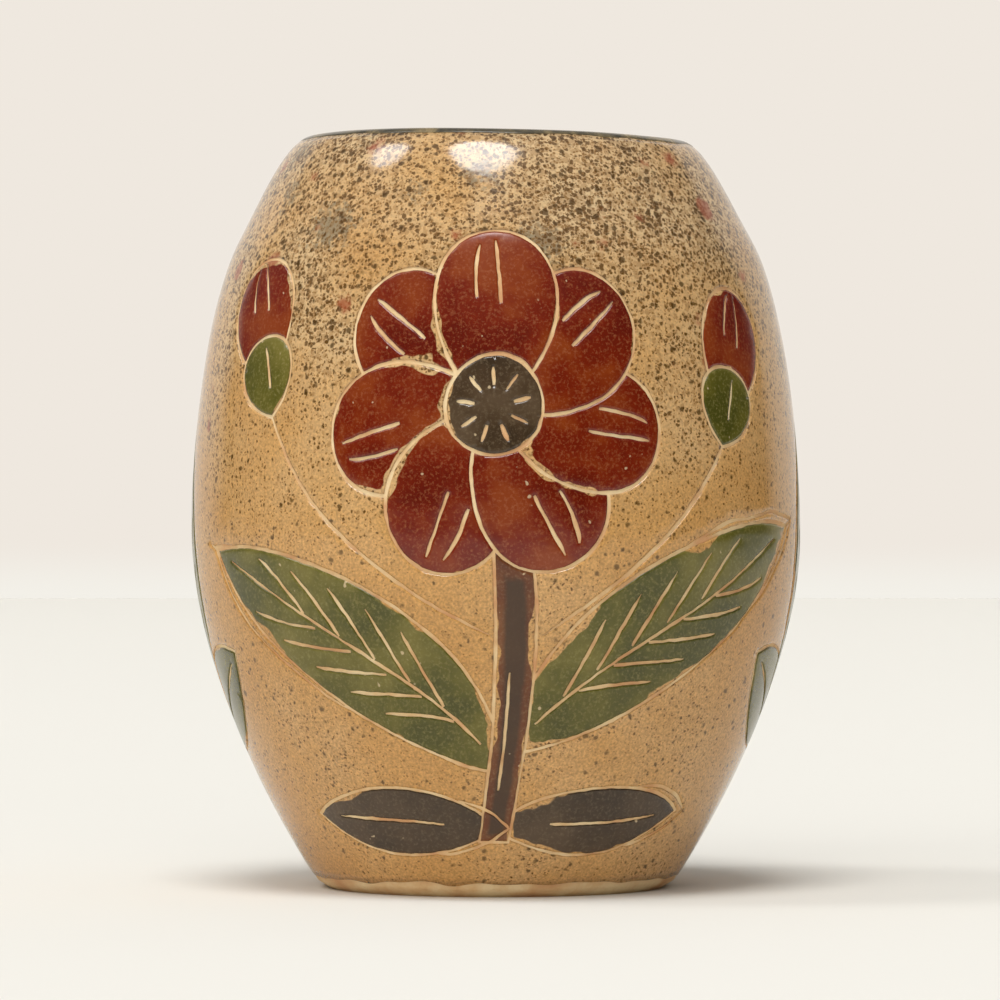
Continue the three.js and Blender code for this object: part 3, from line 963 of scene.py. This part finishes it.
def layOut():
    fields, strokes = [], []
    panels = [(plantFields("front"), 0.0), (plantFields("back"), 0.5),
              (sprigFields("right"), 0.25), (sprigFields("left"), 0.75)]
    for (panelFields, panelStrokes), turn in panels:
        away = turn * sheetWidth
        for field in panelFields:
            seed = len(fields) + 1
            line = onSheet(field["outline"], away)
            field["outline"] = handDrawn(line, seed)
            field["line"] = handDrawn(grown(line, drawing["lineWidth"], seed), seed + hand["lineSeed"])
            fields.append(field)
            if any(word in field["name"] for word in ("leaf", "blade", "sprig_middle")):
                again = resampled(secondTry(line, seed))
                strokes.append(handDrawn(strokeOutline(again, seed), seed))
        for stroke in panelStrokes:
            seed = len(strokes) + hand["strokeSeeds"]
            path = resampled(onSheet(stroke, away))
            strokes.append(handDrawn(strokeOutline(path, seed), seed))
    return fields, strokes


noise.seed_set(hand["seed"])  # fixes how the lines wander
fields, strokes = layOut()
print("drawing:", len(fields), "fields,", len(strokes), "strokes")


# The coat as one sheet of triangles, sorted into fields, lines and ground

coat = {
    "seam": -34.6,  # where the sheet's two edges meet, on the left of the front plant
    "footBare": 1.5,
    "lipLap": 1.2,
    "lipDepth": 3.5,
    "edgeWaver": 0.3,
    "footWaver": 0.5,
    "depth": 0.2,
    "roll": 0.03,  # how far the edge of a slip is rounded down
    "rollWidth": 0.24,
    "smallest": 0.2,  # square millimetres, below which a scrap is scraped away
}
wavers = {"foot": (6, 3.0), "lip": (5, 8.0), "inside": (3, 5.0)}  # lobes round the pot, and seed
grid = {  # how finely the coat is divided
    "columns": 220,
    "seamRows": 76,
    "step": 1.05,
    "rowShare": 0.87,  # rows against columns, for even triangles
    "stagger": 0.45,
    "sideGaps": (0.7, 0.6),  # steps left free at the two edges of the sheet
    "fromFoot": 0.8,
    "coarseTo": 5.0,  # below the crest of the lip, where closer rows follow
    "fineFrom": 4.8,
    "fineTo": 1.6,
    "fineStep": 0.5,
    "lineStep": 0.15,  # spacing at which a line is sampled to keep points off it
    "clear": 0.45,
    "beside": 0.2,  # rows of points along both sides of a line
    "besideClear": 0.13,
    "seamGap": 0.4,
    "edgeGap": 0.3,
    "weld": 1e-4,
    "seamReach": 1e-3,
    "seamJump": 5.0,  # an edge longer than this crosses the seam
    "edgeStep": 0.1,  # spacing at which the edges of the slips are sampled
}
groundLabel, lineLabel, strokeLabel = -1, -2, -3


def waver(turn, lobes, seed):
    angle = fullTurn * turn
    return noise.noise(Vector((math.cos(angle) * lobes, math.sin(angle) * lobes, seed)))


def footEdge(u):
    return coat["footBare"] + coat["footWaver"] * waver(u / sheetWidth, *wavers["foot"])


def lipEdge(u):
    return crest - coat["lipLap"] + coat["edgeWaver"] * waver(u / sheetWidth, *wavers["lip"])


def copiesOnSheet(ring):
    # a ring that crosses the seam is drawn at both edges of the sheet
    low, high = min(p.x for p in ring), max(p.x for p in ring)
    left, right = coat["seam"], coat["seam"] + sheetWidth
    ways = [turns * sheetWidth for turns in (-2, -1, 0, 1)]
    ways = [way for way in ways if low + way < right and high + way > left]
    return [[Vector((p.x + way, p.y)) for p in ring] for way in ways]


def sampled(rings, step):
    points = []
    for ring in rings:
        for a, b in zip(ring, ring[1:] + ring[:1]):
            count = max(1, math.ceil((b - a).length / step))
            points += [a.lerp(b, i / count) for i in range(count)]
    return points


def treeOf(points):
    tree = kdtree.KDTree(len(points))
    for i, p in enumerate(points):
        tree.insert((p[0], p[1], 0), i)
    tree.balance()
    return tree


def distances(tree, points):
    return np.array([tree.find((p[0], p[1], 0))[2] for p in points])


def sheetTriangles(rings):
    left, right = coat["seam"], coat["seam"] + sheetWidth
    points, edges = [], []

    def addLine(line, closed):
        start = len(points)
        points.extend(line)
        count = len(line)
        edges.extend((start + i, start + (i + 1) % count) for i in range(count if closed else count - 1))

    spread = np.linspace(left, right, grid["columns"] + 1)
    addLine([Vector((u, footEdge(u))) for u in spread], False)
    addLine([Vector((u, lipEdge(u))) for u in spread], False)
    rows = np.linspace(footEdge(left), lipEdge(left), grid["seamRows"])
    for u in (left, right):
        addLine([Vector((u, v)) for v in rows], False)
    for ring in rings:
        addLine(ring, True)

    # free points: a staggered grid, closer under the lip, and two rows along every edge
    near = treeOf(sampled(rings, grid["lineStep"]))
    step = grid["step"]
    atLeft, atRight = (share * step for share in grid["sideGaps"])
    heights = list(np.arange(coat["footBare"] + grid["fromFoot"], crest - grid["coarseTo"],
                             step * grid["rowShare"]))
    heights += list(np.arange(crest - grid["fineFrom"], crest - grid["fineTo"], grid["fineStep"]))
    loose = []
    for j, v in enumerate(heights):
        for u in np.arange(left + atLeft, right - atRight, step):
            loose.append((u + (j % 2) * grid["stagger"] * step, v))
    gap = distances(near, loose)
    loose = [p for p, away in zip(loose, gap) if away > grid["clear"]]
    sideways = []
    for ring in rings:
        corners, way, _ = edgeWays(ring)
        for reach in (-grid["beside"], grid["beside"]):
            sideways += [tuple(p) for p in corners + way * reach]
    gap = distances(near, sideways)
    seamGap, edgeGap = grid["seamGap"], grid["edgeGap"]
    for (u, v), away in zip(sideways, gap):
        offSeam = left + seamGap < u < right - seamGap
        if away > grid["besideClear"] and offSeam and footEdge(u) + edgeGap < v < lipEdge(u) - edgeGap:
            loose.append((u, v))
    points.extend(Vector(p) for p in loose)
    flat, _, faces, *_ = geometry.delaunay_2d_cdt(points, edges, [], 0, grid["weld"], False)
    corners = np.array([tuple(p) for p in flat])
    triangles = np.array([f for f in faces if len(f) == 3])
    middle = corners[triangles].mean(1)
    low = np.array([footEdge(u) for u in middle[:, 0]])
    high = np.array([lipEdge(u) for u in middle[:, 0]])
    keep = (middle[:, 0] > left) & (middle[:, 0] < right) & (middle[:, 1] > low) & (middle[:, 1] < high)
    return corners, triangles[keep]


def weldSeam(corners, triangles):
    # both edges of the sheet use the corners of the left one
    left, right = coat["seam"], coat["seam"] + sheetWidth
    onLeft = np.flatnonzero(np.abs(corners[:, 0] - left) < grid["seamReach"])
    onRight = np.flatnonzero(np.abs(corners[:, 0] - right) < grid["seamReach"])
    number = np.arange(len(corners))
    for i in onRight:
        number[i] = onLeft[np.argmin(np.abs(corners[onLeft, 1] - corners[i, 1]))]
    welded = number[triangles]
    whole = (welded[:, 0] != welded[:, 1]) & (welded[:, 1] != welded[:, 2]) & (welded[:, 2] != welded[:, 0])
    return welded[whole], whole


def insideRing(points, ring):
    ring = np.array([tuple(p) for p in ring])
    low, high = ring.min(0), ring.max(0)
    near = np.flatnonzero((points >= low).all(1) & (points <= high).all(1))
    x, y = points[near, 0][:, None], points[near, 1][:, None]
    a, b = ring, np.roll(ring, -1, axis=0)
    crosses = (a[:, 1] > y) != (b[:, 1] > y)
    rise = b[:, 1] - a[:, 1]
    slope = (b[:, 0] - a[:, 0]) / np.where(rise == 0, 1, rise)  # a level edge is never crossed
    hits = crosses & (x < a[:, 0] + (y - a[:, 1]) * slope)
    inside = np.zeros(len(points), bool)
    inside[near] = hits.sum(1) % 2 == 1
    return inside


def sortTriangles(middle):
    label = np.full(len(middle), groundLabel)
    free = np.ones(len(middle), bool)
    for number, field in enumerate(fields):
        for key, value in (("outline", number), ("line", lineLabel)):
            for ring in copiesOnSheet(field[key]):
                hit = free & insideRing(middle, ring)
                label[hit] = value
                free &= ~hit
    for stroke in strokes:
        for ring in copiesOnSheet(stroke):
            label[insideRing(middle, ring)] = strokeLabel
    return label


def edgeList(triangles):
    # every edge of every triangle, with the number of its undirected edge
    directed = np.concatenate([triangles[:, [0, 1]], triangles[:, [1, 2]], triangles[:, [2, 0]]])
    owner = np.tile(np.arange(len(triangles)), 3)
    _, number = np.unique(np.sort(directed, axis=1), axis=0, return_inverse=True)
    return directed, owner, number.ravel()


def neighbourLabels(owner, number, label):
    # the label on the other side of every edge, or that of a line where the sheet ends
    order = np.argsort(number, kind="stable")
    other = np.full(len(number), lineLabel)
    same = number[order][1:] == number[order][:-1]
    first, second = order[:-1][same], order[1:][same]
    other[first], other[second] = label[owner[second]], label[owner[first]]
    return other


def scrapeScraps(triangles, label, area):
    # small scraps between lines are scraped away with them
    _, owner, number = edgeList(triangles)
    parent = np.arange(len(triangles))

    def find(i):
        while parent[i] != i:
            parent[i] = parent[parent[i]]
            i = parent[i]
        return i

    order = np.argsort(number, kind="stable")
    for a, b in zip(order[:-1], order[1:]):
        if number[a] == number[b] and label[owner[a]] == label[owner[b]]:
            parent[find(owner[a])] = find(owner[b])
    group = np.array([find(i) for i in range(len(triangles))])
    size = np.zeros(len(triangles))
    np.add.at(size, group, area)
    small = (label >= groundLabel) & (size[group] < coat["smallest"])
    label[small] = lineLabel
    return int(small.sum())


rings = []
for field in fields:
    rings += copiesOnSheet(field["outline"]) + copiesOnSheet(field["line"])
for stroke in strokes:
    rings += copiesOnSheet(stroke)
corners, triangles = sheetTriangles(rings)
spans = corners[triangles]
area = np.cross(spans[:, 1] - spans[:, 0], spans[:, 2] - spans[:, 0]) / 2
triangles[area < 0] = triangles[area < 0][:, ::-1]
middle = corners[triangles].mean(1)
label = sortTriangles(middle)
triangles, whole = weldSeam(corners, triangles)
label, area = label[whole], np.abs(area[whole])
scraps = scrapeScraps(triangles, label, area)
directed, owner, number = edgeList(triangles)
other = neighbourLabels(owner, number, label)
print("coat:", len(triangles), "triangles,", scraps, "in scraps")


def boundaryTree(wanted):
    points = []
    for a, b in corners[directed[wanted]]:
        overSeam = abs(a[0] - b[0]) >= grid["seamJump"]
        count = 1 if overSeam else max(1, math.ceil(np.linalg.norm(b - a) / grid["edgeStep"]))
        points += [tuple(a + (b - a) * i / count) for i in range(count)]
    return treeOf(points)


ownEdge = (label[owner] >= groundLabel) & (other != label[owner])
edgeTree = boundaryTree(ownEdge)
brushTree = boundaryTree(ownEdge & (other != strokeLabel))


def slipPiece(name, node, own, slot):
    # a closed layer: face, inner face and the walls of its cuts
    mine = label == own
    faces = triangles[mine]
    used, local = np.unique(faces, return_inverse=True)
    local = local.reshape(-1, 3)
    count = len(used)
    place = corners[used]
    gap = distances(edgeTree, place)
    drop = coat["roll"] * (1 - np.minimum(gap / coat["rollWidth"], 1)) ** 2
    face = np.column_stack([place, -drop])
    inner = np.column_stack([place, np.full(count, -coat["depth"])])
    position = np.full(len(corners), -1)
    position[used] = np.arange(count)
    rim = position[directed[mine[owner] & (other != own)]]
    walls = np.column_stack([rim[:, 1], rim[:, 0], rim[:, 0] + count, rim[:, 1] + count])
    allFaces = local.tolist() + (local[:, ::-1] + count).tolist() + walls.tolist()
    fromEdge = np.tile(distances(brushTree, place), 2)
    return wrapPiece(name, np.vstack([face, inner]), allFaces, finishes[slot], [node], fromEdge)


pieceFaces = 0
for fieldNumber, field in enumerate(fields):
    piece = slipPiece(field["name"] + "_field", field["name"], fieldNumber, field["slot"])
    pieceFaces += len(piece.data.polygons)
ground = slipPiece("ground_coat", "ground_slip", groundLabel, "ground_slip")
print("fields:", pieceFaces, "faces, ground:", len(ground.data.polygons), "faces")


# The dark slip over the lip, from the wavy edge of the coat to a thin edge inside the mouth

lip = {"columns": 220, "rows": 22, "depth": 0.36, "thinning": 1.2, "thinEdge": 0.24}


def lipSheet():
    count, rows = lip["columns"], lip["rows"]
    face, inner = [], []
    for j in range(rows + 1):
        for i in range(count):
            u = coat["seam"] + sheetWidth * i / count
            start = lipEdge(u)
            end = crest + coat["lipDepth"] + coat["edgeWaver"] * waver(i / count, *wavers["inside"])
            v = start + (end - start) * j / rows
            low = coat["roll"] * max(0, 1 - (v - start) / coat["rollWidth"]) ** 2
            low += lip["thinEdge"] * max(0, 1 - (end - v) / lip["thinning"]) ** 2
            face.append((u, v, -low))
            inner.append((u, v, -lip["depth"]))
    total = len(face)
    faces = []
    for i in range(count):
        beside = (i + 1) % count
        for j in range(rows):
            a, b, c, d = (j * count + i, j * count + beside, (j + 1) * count + beside, (j + 1) * count + i)
            faces.append((a, b, c, d))
            faces.append((d + total, c + total, b + total, a + total))
        top = rows * count
        faces.append((beside, i, i + total, beside + total))
        faces.append((top + i, top + beside, top + beside + total, top + i + total))
    return face + inner, faces


lipCorners, lipFaces = lipSheet()
lipPiece = wrapPiece("lip_coat", lipCorners, lipFaces, finishes["lip_slip"], ["lip_slip"])
bpy.data.objects.remove(wallSection)
print("lip slip:", len(lipPiece.data.polygons), "faces")


# Camera, light and stage

shot = {
    "eye": (0.39, -600.0, 39.5),
    "target": (0.39, 0.0, 37.56),
    "lens": 222.0,
}
studio = {
    "lamps": {  # strength, degrees above the floor, degrees to the right of the camera, width, glossy
        "ceilingLight": (1.65, 72.0, -8.0, 23.0, True),
        "sideLight": (0.5, 56.0, -88.0, 15.0, True),
        "leftGlow": (0.15, 40.0, -95.0, 80.0, True),
        "frontFill": (1.4, 20.0, -18.0, 70.0, False),
        "backFill": (0.45, 28.0, 172.0, 60.0, False),
    },
    "zenith": 0.55,
    "horizon": 0.05,
    "falloff": 2.0,  # how fast the room darkens from overhead to the horizon
    "floor": "#e6e3db",
    "floorSeen": "#f3f0e8",
    "wall": "#efe8df",
    "wallBounce": "#8a8680",  # what the wall sends back to the floor
    "meeting": 0.02,  # height over which floor and wall run into each other
    "wallAway": 1.52,
    "wallHeight": 1.2,
    "reach": 2.6,
    "glowFull": 1.3,  # how far to each side glossy slips see the wall at its brightest
    "coveRadius": 0.06,
    "coveSteps": 8,
}


def addCamera():
    data = bpy.data.cameras.new("camera")
    data.sensor_width = 36.0
    data.lens = shot["lens"]
    data.clip_start = 0.01
    camera = bpy.data.objects.new("camera", data)
    eye, target = Vector(shot["eye"]) * mm, Vector(shot["target"]) * mm
    camera.location = eye
    camera.rotation_euler = (target - eye).to_track_quat("-Z", "Y").to_euler()
    bpy.context.scene.collection.objects.link(camera)
    bpy.context.scene.camera = camera


def addLamps():
    for name, (strength, height, side, width, glossy) in studio["lamps"].items():
        data = bpy.data.lights.new(name, "SUN")
        data.energy = strength
        data.angle = math.radians(width)
        up, across = math.radians(height), math.radians(side)
        way = Vector((math.sin(across) * math.cos(up), -math.cos(across) * math.cos(up), math.sin(up)))
        lamp = bpy.data.objects.new(name, data)
        lamp.rotation_euler = (-way).to_track_quat("-Z", "Y").to_euler()
        lamp.visible_glossy = glossy
        bpy.context.scene.collection.objects.link(lamp)


def addWorld():
    # a white room, brightest overhead, that looks like the wall to the camera
    world = bpy.data.worlds.new("room")
    world.use_nodes = True
    bpy.context.scene.world = world
    tree = world.node_tree
    light = tree.nodes["Background"]
    way = addNode(tree, "ShaderNodeTexCoord").outputs["Generated"]
    up = addNode(tree, "ShaderNodeSeparateXYZ", {0: way}).outputs["Z"]
    above = addNode(tree, "ShaderNodeMath", {0: up}, {1: 0.0}, operation="MAXIMUM")
    steep = addNode(tree, "ShaderNodeMath", {0: above}, {1: studio["falloff"]}, operation="POWER")
    level = addNode(tree, "ShaderNodeMapRange", {"Value": steep},
                    {"To Min": studio["horizon"], "To Max": studio["zenith"]})
    tree.links.new(level.outputs[0], light.inputs["Strength"])
    light.inputs["Color"].default_value = (1, 1, 1, 1)
    seen = addNode(tree, "ShaderNodeBackground", None,
                   {"Color": hexColour(studio["wall"]), "Strength": 1.0})
    path = addNode(tree, "ShaderNodeLightPath").outputs
    shown = addNode(tree, "ShaderNodeMixShader", {0: path["Is Camera Ray"], 1: light, 2: seen})
    tree.links.new(shown.outputs[0], tree.nodes["World Output"].inputs["Surface"])


def stagePiece(name, profile, colour, castsShadow):
    # a profile of points drawn out from side to side
    reach = studio["reach"]
    corners = [(x, y, z) for y, z in profile for x in (-reach, reach)]
    faces = [(2 * i, 2 * i + 1, 2 * i + 3, 2 * i + 2) for i in range(len(profile) - 1)]
    mesh = bpy.data.meshes.new(name)
    mesh.from_pydata(corners, [], faces)
    mesh.shade_smooth()
    material, tree, shader = newMaterial(name + "Paint")
    shader.inputs["Base Color"].default_value = hexColour(colour)
    shader.inputs["Roughness"].default_value = 0.9
    shader.inputs["Specular IOR Level"].default_value = 0.0
    mesh.materials.append(material)
    piece = bpy.data.objects.new(name, mesh)
    piece.visible_shadow = castsShadow
    bpy.context.scene.collection.objects.link(piece)
    return tree, shader


def addBackdrop(profile):
    # the camera and glossy slips see the wall's own colour, and the floor's where they meet;
    # its glow in the slips fades out to both sides, and the fill from behind shines through it
    tree, shader = stagePiece("backdrop", profile, studio["wallBounce"], False)
    place = addNode(tree, "ShaderNodeTexCoord").outputs["Object"]
    at = addNode(tree, "ShaderNodeSeparateXYZ", {0: place}).outputs
    share = addNode(tree, "ShaderNodeMapRange", {"Value": at["Z"]}, {"From Max": studio["meeting"]},
                    interpolation_type="SMOOTHSTEP")
    colour = addNode(tree, "ShaderNodeMix", {0: share},
                     {6: hexColour(studio["floorSeen"]), 7: hexColour(studio["wall"])}, data_type="RGBA")
    path = addNode(tree, "ShaderNodeLightPath").outputs
    side = addNode(tree, "ShaderNodeMath", {0: at["X"]}, operation="ABSOLUTE")
    fade = addNode(tree, "ShaderNodeMapRange", {"Value": side},
                   {"From Min": studio["reach"], "From Max": studio["glowFull"]},
                   interpolation_type="SMOOTHSTEP")
    bright = addNode(tree, "ShaderNodeMath", {0: path["Is Camera Ray"], 1: fade}, operation="MAXIMUM")
    glow = addNode(tree, "ShaderNodeEmission", {"Color": colour.outputs[2], "Strength": bright})
    seen = addNode(tree, "ShaderNodeMath", {0: path["Is Camera Ray"], 1: path["Is Glossy Ray"]},
                   operation="MAXIMUM")
    shown = addNode(tree, "ShaderNodeMixShader", {0: seen, 1: shader, 2: glow})
    tree.links.new(shown.outputs[0], tree.nodes["Material Output"].inputs["Surface"])


def addStage():
    away, radius = studio["wallAway"], studio["coveRadius"]
    steps = studio["coveSteps"]
    quarter = [fullTurn / 4 * i / steps for i in range(steps + 1)]
    cove = [(away - radius + radius * math.sin(a), radius - radius * math.cos(a)) for a in quarter]
    stagePiece("floor", [(-studio["reach"], 0), (away - radius, 0)], studio["floor"], True)
    addBackdrop(cove + [(away, studio["wallHeight"])])


addCamera()
addLamps()
addWorld()
addStage()
bpy.context.scene.view_settings.view_transform = "Standard"
print("camera, light and stage ready")
